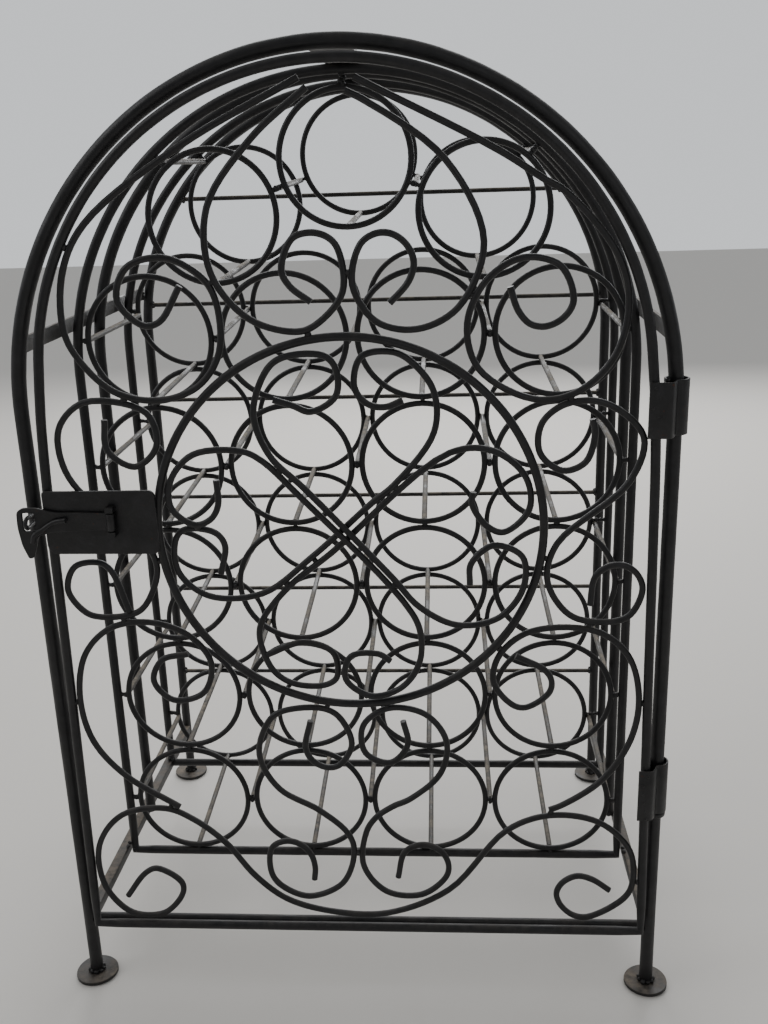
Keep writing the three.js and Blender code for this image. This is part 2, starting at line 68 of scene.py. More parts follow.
# Door scrolls as (x, z) points on a smooth curve along each rod, seen from the front.
SCROLLS = {
    "scroll1_L": [(-13, 710), (-51, 680), (-84, 637), (-84.5, 593.5), (-60.5, 562.5), (-29, 553),
        (-15, 557), (5, 579), (3, 608), (-4, 616), (-16, 619), (-28, 615), (-36, 595), (-31, 584),
        (-17, 573)],
    "scroll1_R": [(12, 707), (24, 701), (76, 663), (101, 610), (83.5, 567), (55, 553), (27, 559),
        (12, 584), (18, 610), (28, 617), (39, 617), (49, 610), (54, 598), (50, 585), (37, 571)],
    "scroll2_L": [(-18, 716), (-100, 676), (-169, 628.5), (-187.5, 597.5), (-192, 559), (-185, 539),
        (-161, 513.5), (-130, 506.5), (-100, 516), (-83, 540), (-82.5, 574.5), (-90.5, 590.5),
        (-116, 605), (-143, 599), (-151.5, 577), (-135, 559.5), (-123, 562), (-107, 586)],
    "scroll2_R": [(18, 715), (110, 668), (140, 649), (155, 640), (189, 600.5), (198, 568.5),
        (190, 532), (164.5, 507), (134.5, 503), (97, 525), (89.5, 556), (102.5, 584.5), (127, 599),
        (152, 593), (161, 570), (155, 559), (143, 553), (132, 555), (124, 564), (118.5, 580)],
    "scroll3_L": [(-170, 493), (-170, 470), (-151, 458), (-134, 473), (-139, 497.5), (-183, 506),
        (-204, 487), (-203, 455), (-181, 425), (-149, 398), (-143, 385), (-143.5, 372), (-154, 350),
        (-163, 343), (-189, 340), (-201, 344), (-212.5, 362), (-205, 381), (-186, 384), (-178, 378),
        (-167, 344)],
    "scroll3_R": [(176, 488), (178, 478), (172, 457), (156, 451), (140, 464), (141, 485.5),
        (157.5, 499), (184.5, 499), (211.5, 475), (203, 442), (153, 396), (146.5, 368), (160, 343),
        (175, 335.5), (205, 338), (215.5, 360), (210.5, 373), (201, 379), (190, 378), (181, 370),
        (178, 348)],
    "scroll4_L": [(-125, 309), (-146, 304), (-154, 286), (-140, 270), (-116, 276), (-108, 302),
        (-124, 325), (-153, 335.5), (-183, 331), (-205, 310), (-214, 274), (-208, 234), (-185, 202.5),
        (-143.5, 174)],
    "scroll4_R": [(124, 307), (146, 295), (151, 286), (149, 276), (132, 264), (122, 266), (107.5, 285),
        (112, 308), (135, 327), (183, 327), (207, 307.5), (216.5, 273), (211.5, 236), (191, 201),
        (161, 178.5), (151, 174)],
    "scroll5": [(-195, 88.5), (-178, 111), (-168, 115.5), (-149, 103), (-148.5, 92), (-166, 72),
        (-193, 72), (-213, 97), (-214, 137), (-192, 166), (-155.5, 172.5), (-133.5, 162.5),
        (-109, 141), (-86.5, 109.5), (-61.5, 87.5), (-25, 76), (20.5, 75), (71.5, 98.5), (118, 155),
        (152, 169), (190, 163), (215, 137), (217.5, 104), (210, 90.5), (183, 74), (171, 76), (161, 86),
        (158, 97), (163, 107), (174, 113), (186, 110), (200, 100)],
    "scroll6_L": [(-38, 107), (-37, 119), (-40, 131), (-48, 140), (-59, 143), (-71, 137), (-73, 112.5),
        (-65, 100), (-43, 90.5), (-15, 103.5), (-4.5, 134), (-9, 151), (-31, 172), (-62, 191.5),
        (-76, 222), (-67, 251), (-56, 260), (-25, 263), (-12, 256), (-2.5, 232), (-13, 213),
        (-23, 211), (-34, 217), (-39, 229), (-34, 252)],
    "scroll6_R": [(38, 252), (41, 231), (27, 215.5), (8, 224), (7, 248), (27, 263), (55, 258),
        (71, 235), (66, 206), (42, 183), (28, 176), (14, 165.5), (6, 152), (3, 120), (21, 96),
        (49, 93.5), (68.5, 109.5), (71.5, 121), (67, 133), (57, 140), (46, 140), (36, 133),
        (30.5, 110)],
    "x_a": [(-47, 506), (-33, 501.5), (-21, 497), (-2.5, 508), (-2, 528), (-10, 536.5), (-37.5, 536),
        (-49.5, 528), (-61.5, 497), (-52.5, 466.5), (-27.5, 440), (33, 372), (53, 348), (81, 333.5),
        (111.5, 339.5), (129, 363), (128, 387.5), (107, 396), (91, 382), (90, 366)],
    "x_b": [(-92, 448), (-92, 429), (-98, 418.5), (-110, 414), (-126.5, 426.5), (-125.5, 447.5),
        (-107.5, 467), (-72, 469), (-57.5, 461.5), (-32.5, 435.5), (40, 354), (52.5, 330), (51.5, 302),
        (37, 281.5), (14, 275), (-4.5, 289), (0, 308), (21, 310), (30, 304)],
    "x_c": [(44, 503), (32, 498.5), (22, 499.5), (13.5, 506), (10, 516), (16, 534.5), (36.5, 537.5),
        (48.5, 532), (65.5, 510), (65.5, 479.5), (35.5, 440.5), (20, 428), (-26, 386.5), (-65, 357.5),
        (-106, 356), (-127, 375), (-127, 401), (-119, 409), (-97, 406), (-90.5, 396), (-95, 374)],
    "x_d": [(93, 435), (92, 426), (103, 409), (115, 404.5), (133, 421.5), (130, 446.5), (107, 465.5),
        (76.5, 464.5), (-11.5, 389.5), (-44, 363.5), (-66, 336.5), (-69.5, 322), (-61, 294.5),
        (-46, 283), (-21.5, 281.5), (-12, 288), (-14, 309), (-36, 317.5), (-65, 307)],
}
LAYERS = {"x_a": -1, "x_b": -1, "x_c": 1, "x_d": 1}


def place(x, y, z):
    """A point given in mm, with depth counted back from the front frame, in the row frame."""
    return Vector((x, y - DEPTH_MID, z)) / 1000


def smooth(points, per=8, closed=False):
    """Centripetal Catmull-Rom curve through the points."""
    n = len(points)
    out = []

    def at(i):
        if closed:
            return points[i % n]
        if i < 0:
            return 2 * points[0] - points[1]
        return 2 * points[-1] - points[-2] if i >= n else points[i]

    for i in range(n if closed else n - 1):
        p0, p1, p2, p3 = at(i - 1), at(i), at(i + 1), at(i + 2)
        d0 = max((p1 - p0).length ** 0.5, 1e-6)
        d1 = max((p2 - p1).length ** 0.5, 1e-6)
        d2 = max((p3 - p2).length ** 0.5, 1e-6)
        m1 = ((p1 - p0) / d0 - (p2 - p0) / (d0 + d1) + (p2 - p1) / d1) * d1
        m2 = ((p2 - p1) / d1 - (p3 - p1) / (d1 + d2) + (p3 - p2) / d2) * d1
        for k in range(per):
            t = k / per
            a = -3 * p1 + 3 * p2 - 2 * m1 - m2
            b = 2 * p1 - 2 * p2 + m1 + m2
            out.append(p1 + m1 * t + a * t * t + b * t * t * t)
    if not closed:
        out.append(points[-1].copy())
    return out


def arc(cx, cz, rx, rz, a, b, steps, y):
    """Points on an ellipse's arc in a plane of constant depth, angles in degrees."""
    turn = [math.radians(a + (b - a) * i / steps) for i in range(steps + 1)]
    return [place(cx + rx * math.cos(t), y, cz + rz * math.sin(t)) for t in turn]


def circle(cx, cz, r, y, steps=72):
    return arc(cx, cz, r, r, 0, 360, steps, y)[:-1]


# ---------------------------------------------------------------- materials


def linear(code):
    """Linear RGBA from an sRGB hex code."""
    parts = [int(code[i : i + 2], 16) / 255 for i in (1, 3, 5)]
    return [c / 12.92 if c <= 0.04045 else ((c + 0.055) / 1.055) ** 2.4 for c in parts] + [1.0]


def node(tree, kind, settings=None, **inputs):
    """Adds a node. settings are its properties; inputs are values or sockets, by socket name or number."""
    made = tree.nodes.new(kind)
    for key, value in (settings or {}).items():
        setattr(made, key, value)
    for key, value in inputs.items():
        socket = made.inputs[int(key[1:]) if key[0] == "i" and key[1:].isdigit() else key.replace("_", " ")]
        if isinstance(value, bpy.types.NodeSocket):
            tree.links.new(value, socket)
        else:
            socket.default_value = value
    return made


def per_metre(size_mm):
    """Texture scale whose features are about this many mm across."""
    return 1000 / size_mm


def wrought_iron(name, paint, worn, dust, dust_share, rust_share, grain_mm=1.4, relief=0.35):
    """Forged rod under brushed satin enamel. The paint lies thin and a little lumpy over mill scale, so gloss
    wanders along a bar; dust settles on what faces up, and rust shows as small brown freckles."""
    material = bpy.data.materials.new(name)
    material.use_nodes = True
    tree = material.node_tree
    tree.nodes.clear()
    where = node(tree, "ShaderNodeTexCoord").outputs["Object"]
    broad = node(tree, "ShaderNodeTexNoise", Vector=where, Scale=per_metre(38), Detail=3.0, Roughness=0.6)
    streak = node(tree, "ShaderNodeTexNoise", Vector=where, Scale=per_metre(9), Detail=5.0, Roughness=0.65)
    fine = node(tree, "ShaderNodeTexNoise", Vector=where, Scale=per_metre(grain_mm), Detail=2.0)
    freckle = node(tree, "ShaderNodeTexNoise", Vector=where, Scale=per_metre(5.5), Detail=6.0, Roughness=0.7)
    tone = node(tree, "ShaderNodeMapRange", Value=streak.outputs[0], From_Min=0.42, From_Max=0.66)
    base = node(
        tree,
        "ShaderNodeMix",
        {"data_type": "RGBA"},
        Factor=tone.outputs[0],
        i6=linear(paint),
        i7=linear(worn),
    )
    rusty = node(
        tree,
        "ShaderNodeMapRange",
        Value=freckle.outputs[0],
        From_Min=0.72 - rust_share,
        From_Max=0.8 - rust_share,
    )
    rust_tone = node(
        tree,
        "ShaderNodeMix",
        {"data_type": "RGBA"},
        Factor=fine.outputs[0],
        i6=linear("#2b1710"),
        i7=linear("#5b3523"),
    )
    with_rust = node(
        tree,
        "ShaderNodeMix",
        {"data_type": "RGBA"},
        Factor=rusty.outputs[0],
        i6=base.outputs[2],
        i7=rust_tone.outputs[2],
    )
    normal = node(tree, "ShaderNodeNewGeometry").outputs["Normal"]
    up = node(tree, "ShaderNodeSeparateXYZ", Vector=normal).outputs["Z"]
    facing = node(tree, "ShaderNodeMapRange", Value=up, From_Min=0.1, From_Max=0.95)
    patch = node(tree, "ShaderNodeMapRange", Value=broad.outputs[0], From_Min=0.3, From_Max=0.62)
    speck = node(tree, "ShaderNodeMapRange", Value=streak.outputs[0], From_Min=0.3, From_Max=0.6)
    times = {"operation": "MULTIPLY"}
    settled = node(tree, "ShaderNodeMath", times, i0=facing.outputs[0], i1=patch.outputs[0])
    broken = node(tree, "ShaderNodeMath", times, i0=settled.outputs[0], i1=speck.outputs[0])
    cover = node(tree, "ShaderNodeMath", {**times, "use_clamp": True}, i0=broken.outputs[0], i1=dust_share)
    colour = node(
        tree,
        "ShaderNodeMix",
        {"data_type": "RGBA"},
        Factor=cover.outputs[0],
        i6=with_rust.outputs[2],
        i7=linear(dust),
    )
    gloss = node(
        tree,
        "ShaderNodeMapRange",
        Value=broad.outputs[0],
        From_Min=0.3,
        From_Max=0.7,
        To_Min=0.36,
        To_Max=0.6,
    )
    dulled = node(tree, "ShaderNodeMath", {"operation": "MAXIMUM"}, i0=cover.outputs[0], i1=rusty.outputs[0])
    rough = node(
        tree, "ShaderNodeMix", {"data_type": "FLOAT"}, Factor=dulled.outputs[0], i2=gloss.outputs[0], i3=0.92
    )
    lumps = node(tree, "ShaderNodeMath", {"operation": "ADD"}, i0=fine.outputs[0], i1=streak.outputs[0])
    bump = node(tree, "ShaderNodeBump", Height=lumps.outputs[0], Strength=relief, Distance=0.0004)
    shader = node(
        tree,
        "ShaderNodeBsdfPrincipled",
        Base_Color=colour.outputs[2],
        Roughness=rough.outputs[0],
        Normal=bump.outputs[0],
        IOR=1.5,
    )
    node(tree, "ShaderNodeOutputMaterial", Surface=shader.outputs[0])
    return material


BLACK = wrought_iron("satin_black_enamel_on_iron", "#0b0b0d", "#19181b", "#5d564e", 0.3, 0.02)
DUSTY = wrought_iron("black_enamel_under_house_dust", "#131211", "#242120", "#80766a", 0.95, 0.03)
RODS = wrought_iron("thin_black_rod_with_grey_dust", "#131211", "#2a2725", "#8d8477", 1.15, 0.03)
WELD = wrought_iron("painted_weld_bead", "#0b0b0d", "#1d1c1e", "#5d564e", 0.35, 0.04, 1.0, 0.8)
PLATE = wrought_iron("black_enamel_worn_on_plate", "#0b0b0d", "#1b1a1d", "#5d564e", 0.35, 0.08, 1.8, 0.5)
PALE = bpy.data.materials.new("pale_floor")

# ---------------------------------------------------------------- geometry node tools


def tree_with(name, inputs):
    """An empty geometry tree with named inputs. Returns the tree, its group input and its group output."""
    tree = bpy.data.node_groups.new(name, "GeometryNodeTree")
    tree.interface.new_socket("Geometry", in_out="INPUT", socket_type="NodeSocketGeometry")
    tree.interface.new_socket("Geometry", in_out="OUTPUT", socket_type="NodeSocketGeometry")
    for label, kind in inputs:
        tree.interface.new_socket(label, in_out="INPUT", socket_type="NodeSocket" + kind)
    return tree, tree.nodes.new("NodeGroupInput"), tree.nodes.new("NodeGroupOutput")


def finish_tree(tree, given, output, geometry):
    """Ends a tree: shade smooth, no instances, and the material."""
    shaded = node(tree, "GeometryNodeSetShadeSmooth", Geometry=geometry)
    real = node(tree, "GeometryNodeRealizeInstances", Geometry=shaded.outputs[0])
    finish = given.outputs["Material"]
    coated = node(tree, "GeometryNodeSetMaterial", Geometry=real.outputs[0], Material=finish)
    tree.links.new(coated.outputs[0], output.inputs[0])


def uneven(tree, geometry, amount, size_mm, seed):
    """Moves a surface along its normals by noise, as hammering, brushed paint and weld spatter do."""
    noise = node(
        tree,
        "ShaderNodeTexNoise",
        {"noise_dimensions": "4D"},
        Scale=per_metre(size_mm),
        Detail=2.0,
        W=seed,
    )
    centred = node(tree, "ShaderNodeMath", {"operation": "SUBTRACT"}, i0=noise.outputs[0], i1=0.6)
    offset = node(tree, "ShaderNodeMath", {"operation": "MULTIPLY"}, i0=centred.outputs[0], i1=amount)
    normal = node(tree, "GeometryNodeInputNormal").outputs[0]
    push = node(tree, "ShaderNodeVectorMath", {"operation": "SCALE"}, i0=normal, Scale=offset.outputs[0])
    return node(tree, "GeometryNodeSetPosition", Geometry=geometry, Offset=push.outputs[0]).outputs[0]


def rod_tree():
    """A round rod along each curve."""
    tree, given, output = tree_with(
        "round_rod",
        [
            ("Radius", "Float"),
            ("Sides", "Int"),
            ("Unevenness", "Float"),
            ("Seed", "Float"),
            ("Material", "Material"),
        ],
    )
    section = node(
        tree,
        "GeometryNodeCurvePrimitiveCircle",
        Resolution=given.outputs["Sides"],
        Radius=given.outputs["Radius"],
    )
    profile = section.outputs[0]
    rod = node(tree, "GeometryNodeCurveToMesh", Curve=given.outputs[0], Profile_Curve=profile, Fill_Caps=True)
    lumpy = uneven(tree, rod.outputs[0], given.outputs["Unevenness"], 14, given.outputs["Seed"])
    finish_tree(tree, given, output, lumpy)
    return tree


def flat_tree():
    """A flat bar along each curve, with its edges eased."""
    tree, given, output = tree_with(
        "flat_bar",
        [
            ("Width", "Float"),
            ("Height", "Float"),
            ("Edge", "Float"),
            ("Seed", "Float"),
            ("Material", "Material"),
        ],
    )
    section = node(
        tree,
        "GeometryNodeCurvePrimitiveQuadrilateral",
        Width=given.outputs["Width"],
        Height=given.outputs["Height"],
    )
    eased = node(
        tree,
        "GeometryNodeFilletCurve",
        {"mode": "POLY"},
        Curve=section.outputs[0],
        Radius=given.outputs["Edge"],
        Count=3,
        Limit_Radius=True,
    )
    profile = eased.outputs[0]
    bar = node(tree, "GeometryNodeCurveToMesh", Curve=given.outputs[0], Profile_Curve=profile, Fill_Caps=True)
    lumpy = uneven(tree, bar.outputs[0], 0.0003, 22, given.outputs["Seed"])
    finish_tree(tree, given, output, lumpy)
    return tree


def bead_tree():
    """A lump of weld at each point."""
    inputs = [("Size", "Float"), ("Seed", "Int"), ("Material", "Material")]
    tree, given, output = tree_with("weld_beads", inputs)
    points = node(tree, "GeometryNodeMeshToPoints", Mesh=given.outputs[0])
    lump = node(tree, "GeometryNodeMeshIcoSphere", Radius=given.outputs["Size"], Subdivisions=3)
    vector = {"data_type": "FLOAT_VECTOR"}
    turn = node(tree, "FunctionNodeRandomValue", vector, i0=(0, 0, 0), i1=(6.28, 6.28, 6.28))
    scale = node(tree, "FunctionNodeRandomValue", vector, i0=(0.8, 0.75, 0.8), i1=(1.15, 1.0, 1.2))
    tree.links.new(given.outputs["Seed"], turn.inputs["Seed"])
    tree.links.new(given.outputs["Seed"], scale.inputs["Seed"])
    put = node(
        tree,
        "GeometryNodeInstanceOnPoints",
        Points=points.outputs[0],
        Instance=lump.outputs[0],
        Rotation=turn.outputs[0],
        Scale=scale.outputs[0],
    )
    real = node(tree, "GeometryNodeRealizeInstances", Geometry=put.outputs[0])
    rough = uneven(tree, real.outputs[0], 0.0016, 2.6, 0.0)
    finish_tree(tree, given, output, rough)
    return tree


ROD_TREE = rod_tree()
FLAT_TREE = flat_tree()
BEAD_TREE = bead_tree()


def mesh_from(data, tree, **values):
    """Runs a geometry tree on curve or mesh data and returns the plain mesh."""
    holder = bpy.data.objects.new("holder", data)
    bpy.context.scene.collection.objects.link(holder)
    modifier = holder.modifiers.new("shape", "NODES")
    modifier.node_group = tree
    for item in tree.interface.items_tree:
        if item.in_out == "INPUT" and item.name in values:
            modifier[item.identifier] = values[item.name]
    depsgraph = bpy.context.evaluated_depsgraph_get()
    mesh = bpy.data.meshes.new_from_object(holder.evaluated_get(depsgraph), depsgraph=depsgraph)
    bpy.data.objects.remove(holder)
    return mesh


def paths_data(paths, twist="MINIMUM"):
    """Curve data with one polyline for each path; a path is (points, closed)."""
    data = bpy.data.curves.new("path", "CURVE")
    data.dimensions = "3D"
    data.twist_mode = twist
    for points, closed in paths:
        line = data.splines.new("POLY")
        line.points.add(len(points) - 1)
        for target, p in zip(line.points, points):
            target.co = (*p, 1)
        line.use_cyclic_u = closed
    return data


seed_count = [0]


def next_seed():
    seed_count[0] += 1
    return seed_count[0]


def rods(paths, r_mm, material, sides=12, uneven_mm=0.25):
    return mesh_from(
        paths_data(paths),
        ROD_TREE,
        Radius=r_mm / 1000,
        Sides=sides,
        Unevenness=uneven_mm / 1000,
        Seed=float(next_seed()),
        Material=material,
    )


def flat(paths, width_mm, height_mm, material, edge_mm=0.5):
    return mesh_from(
        paths_data(paths, "Z_UP"),
        FLAT_TREE,
        Width=width_mm / 1000,
        Height=height_mm / 1000,
        Edge=edge_mm / 1000,
        Seed=float(next_seed()),
        Material=material,
    )


def beads(points, r_mm, material=WELD):
    data = bpy.data.meshes.new("spots")
    data.from_pydata([tuple(p) for p in points], [], [])
    return mesh_from(data, BEAD_TREE, Size=r_mm / 1000, Seed=next_seed(), Material=material)


def plate(outline, holes, thick_mm, material, flat_on_floor=False, edge_mm=0.35):
    """A cut plate with eased edges. The outline is (x, z) from the front, or (x, y) if it lies flat."""
    data = bpy.data.curves.new("outline", "CURVE")
    data.dimensions = "2D"
    data.fill_mode = "BOTH"
    data.extrude = thick_mm / 2000 - edge_mm / 1000
    data.bevel_depth = edge_mm / 1000
    data.bevel_resolution = 2
    data.offset = -edge_mm / 1000
    for ring in [outline, *holes]:
        line = data.splines.new("POLY")
        line.points.add(len(ring) - 1)
        for target, (x, z) in zip(line.points, ring):
            target.co = (x / 1000, z / 1000, 0, 1)
        line.use_cyclic_u = True
    holder = bpy.data.objects.new("holder", data)
    bpy.context.scene.collection.objects.link(holder)
    mesh = bpy.data.meshes.new_from_object(holder)
    bpy.data.objects.remove(holder)
    if not flat_on_floor:
        mesh.transform(Matrix.Rotation(math.pi / 2, 4, "X"))
    mesh.materials.clear()
    mesh.materials.append(material)
    return mesh


def tidy_mesh(mesh):
    """Merges doubles and points every face outwards."""
    bm = bmesh.new()
    bm.from_mesh(mesh)
    bmesh.ops.remove_doubles(bm, verts=bm.verts, dist=1e-6)
    bmesh.ops.recalc_face_normals(bm, faces=bm.faces)
    bm.to_mesh(mesh)
    bm.free()
    return mesh


def piece(name, body, meshes, replaced):
    """Joins meshes into one piece that rides on a body and stands for CAD nodes."""
    objects = []
    for mesh in meshes:
        made = bpy.data.objects.new(name, mesh)
        bpy.context.scene.collection.objects.link(made)
        objects.append(made)
    if len(objects) > 1:
        with bpy.context.temp_override(
            active_object=objects[0], selected_editable_objects=objects, selected_objects=objects
        ):
            bpy.ops.object.join()
    made = objects[0]
    made.name = name
    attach(made, body)
    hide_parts(*replaced)
    return made


# ---------------------------------------------------------------- cage


def front_frame():
    half, spring = FRAME["half"], FRAME["spring"]
    legs_r = [place(half, 0, z) for z in range(3, 490, 24)]
    legs_l = [place(-half, 0, z) for z in range(3, 490, 24)][::-1]
    over = arc(0, spring, half, FRAME["rise"], 0, 180, 110, 0)
    path = legs_r + over + legs_l
    foot_welds = []
    for x in (-half, half):
        for k in range(9):
            a = 2 * math.pi * k / 9
            foot_welds.append(place(x + 5.6 * math.cos(a), 5.6 * math.sin(a), 4.2))
    piece(
        "front_frame_bar",
        "cage",
        [rods([(path, False)], FRAME["r"], BLACK, 20, 0.5), beads(foot_welds, 2.1)],
        ["front_frame"],
    )
    end = half - 5
    bar = [place(-end + 2 * end * i / 24, 0, BAR_Z) for i in range(25)]
    around = ((-2, 3), (0, 4), (2, 3), (-3, -2))
    ends = [place(s * (end - 1), dy, BAR_Z + dz) for s in (-1, 1) for dy, dz in around]
    piece(
        "front_bottom_rod",
        "cage",
        [rods([(bar, False)], 3.9, BLACK, 14, 0.4), beads(ends, 2.4)],
        ["front_bottom_bar"],
    )


def arched(name, f, bottom, closed, material=BLACK):
    over = arc(0, f["z"], f["half"], f["half"], 0, 180, 96, f["y"])
    count = 18
    side = [f["z"] - (f["z"] - bottom) * (i + 1) / count for i in range(count)]
    left = [place(-f["half"], f["y"], z) for z in side]
    right = [place(f["half"], f["y"], z) for z in side][::-1]
    path = right + over + left
    if closed:
        path += [place(-f["half"] + 2 * f["half"] * i / 24, f["y"], bottom) for i in range(1, 24)]
    welds = [place(s * f["half"], f["y"] + dy, bottom + 1.5) for s in (-1, 1) for dy in (-3, 3)]
    meshes = [rods([(path, closed)], f["r"], material, 16, 0.4), beads(welds, 2.6)]
    piece(name + "_bar", "cage", meshes, [name])


def arches():
    arched("front_panel_frame", PANEL_B, BAR_Z, True)
    arched("middle_frame", MIDDLE, BAR_Z + 4.6, False)
    arched("rear_panel_frame", PANEL_E, BAR_Z + 4.6, False)
    arched("rear_frame", REAR, 3.3, False)
    end = PANEL_E["half"] - 1
    bar = [place(-end + 2 * end * i / 24, PANEL_E["y"], BAR_Z) for i in range(25)]
    piece("rear_panel_rod", "cage", [rods([(bar, False)], 3.9, BLACK, 14, 0.4)], ["rear_panel_bar"])


def rail_x(y):
    front = FRAME["half"] - 0.8
    return front + (REAR["half"] - front) * y / REAR["y"]


def rails():
    for side, name in ((-1, "left"), (1, "right")):
        low = [place(side * rail_x(y), y, BAR_Z) for y in range(5, 321, 9)]
        welds = [place(side * (rail_x(y) - 4), y + dy, BAR_Z + 5) for y in (95, 153, 249) for dy in (-3, 3)]
        piece(
            "bottom_rail_bar_" + name,
            "cage",
            [flat([(low, False)], 8.7, 8.7, DUSTY, 0.8), beads(welds, 2.2)],
            ["bottom_rail_" + name],
        )
        mid = [place(side * 229.2, y, 545) for y in range(5, 321, 9)]
        welds = [place(side * 228.6, y, 545 + dz) for y in (6, 318) for dz in (-4, 0, 4)]
        piece(
            "side_rail_bar_" + name,
            "cage",
            [flat([(mid, False)], 2.8, 11.8, DUSTY, 0.5), beads(welds, 2.3)],
            ["side_rail_" + name],
        )


def feet():
    for where, x, y in (("front", FRAME["half"], 0), ("rear", REAR["half"], REAR["y"])):
        for side, name in ((-1, "left"), (1, "right")):
            turn = [2 * math.pi * i / 64 for i in range(64)]
            wobble = random.Random(7 + side + (10 if where == "rear" else 0)).random() * 6
            rim = [(17.85 - 0.25 * (1 + math.sin(3 * a + wobble))) for a in turn]
            outline = [
                (side * x + r * math.cos(a), y - DEPTH_MID + r * math.sin(a)) for a, r in zip(turn, rim)
            ]
            disc = plate(outline, [], 2.9, DUSTY, True, 0.5)
            disc.transform(Matrix.Translation((0, 0, 0.0015)))
            meshes = [tidy_mesh(disc)]
            if where == "rear":
                ring = [(side * x + 5 * math.cos(a), y + 5 * math.sin(a)) for a in turn[::8]]
                meshes.append(beads([place(px, py, 4) for px, py in ring], 2.0))
            piece(f"foot_disc_{where}_{name}", "cage", meshes, [f"foot_{where}_{name}"])


def ridge():
    top = max(f["z"] + f["half"] + 4.75 for f in (MIDDLE, REAR)) + 0.3
    line = [place(0, y, top + 1.5) for y in range(6, 333, 6)]
    welds = []
    for f in (PANEL_B, MIDDLE, PANEL_E, REAR):
        for x in (-11, -5, 2, 9):
            welds.append(place(x, f["y"] + random.Random(x + f["y"]).uniform(-4, 4), top - 0.8))
    for x in (-12, -6, 0, 6, 12):
        welds.append(place(x, 6.5, top + 1.2))
    meshes = [flat([(line, False)], 29.8, 2.9, BLACK, 0.5), beads(welds, 2.4)]
    piece("ridge_strap_bar", "cage", meshes, ["ridge_strap"])


def cross_rods():
    for i, z in enumerate(CROSS_Z):
        rise = max(z - REAR["z"], 0)
        end = math.sqrt(REAR["half"] ** 2 - rise**2) - 3.6
        line = [place(-end + 2 * end * k / 30, REAR["y"], z) for k in range(31)]
        around = ((-2, 1), (1, 2), (1, -2))
        welds = [place(s * (end - 1), REAR["y"] + dy, z + dz) for s in (-1, 1) for dy, dz in around]
        piece(
            f"rear_cross_rod_{i + 1}_bar",
            "cage",
            [rods([(line, False)], 2.15, RODS, 12, 0.3), beads(welds, 2.2)],
            [f"rear_cross_rod_{i + 1}"],
        )


def depth_rod(x, z, y0, shift=PANEL_E["shift"]):
    """A thin rod back to the rear rings, whose grid is shifted a little against the front one."""
    line = []
    for k in range(21):
        y = y0 + (PANEL_E["y"] - y0) * k / 20
        t = (y - PANEL_B["y"]) / (PANEL_E["y"] - PANEL_B["y"])
        line.append(place(x + shift[0] * t, y, z + shift[1] * t))
    return line, False


def ring_row(where, f, k, with_rods):
    low = ROW_Z + k * PITCH_Z
    dx, dz = f["shift"]
    z = low + dz
    rings = [(circle(x + dx, z, BOTTLE_R, f["y"]), True) for x in COLUMNS]
    welds = []
    depth = []
    y0 = PANEL_B["y"] + 2
    for x in (-PITCH_X, 0, PITCH_X):
        for a, b, c in ((-1.6, 0, 0.8), (0, -0.8, -1.2), (1.6, 0.3, 0.2)):
            welds.append(place(x + dx + a, f["y"] + b, z + c))
        depth.append(depth_rod(x, low, y0))
    wall = math.sqrt((f["half"] - f["r"]) ** 2 - max(z - f["z"], 0) ** 2)
    for side in (-1, 1):
        edge = COLUMNS[3] + BOTTLE_R + 2 + side * dx
        welds += [place(side * (edge + (wall - edge) * t), f["y"], z + 0.6 * t) for t in (0, 0.35, 0.7, 1)]
        outer = min(COLUMNS[3] + BOTTLE_R + 4, wall - 3, 213.7)
        depth.append(depth_rod(side * outer, low, y0 + 2, (0, 0)))
    for x in COLUMNS:
        depth.append(depth_rod(x, low - BOTTLE_R, y0))
        welds.append(place(x + dx + 0.6, f["y"] - 1, z - BOTTLE_R - 1.8))
        if where == "front":
            welds.append(place(x - 0.6, f["y"] + 2, z - BOTTLE_R))
    meshes = [rods(rings, SMALL_ROD, BLACK, 12, 0.25), beads(welds, 2.3)]
    if with_rods:
        meshes.append(rods(depth, 2.35, RODS, 12, 0.35))
    piece(f"{where}_bottle_rings_{k + 1}", "cage", meshes, [f"{where}_rings_row_{k + 1}"])


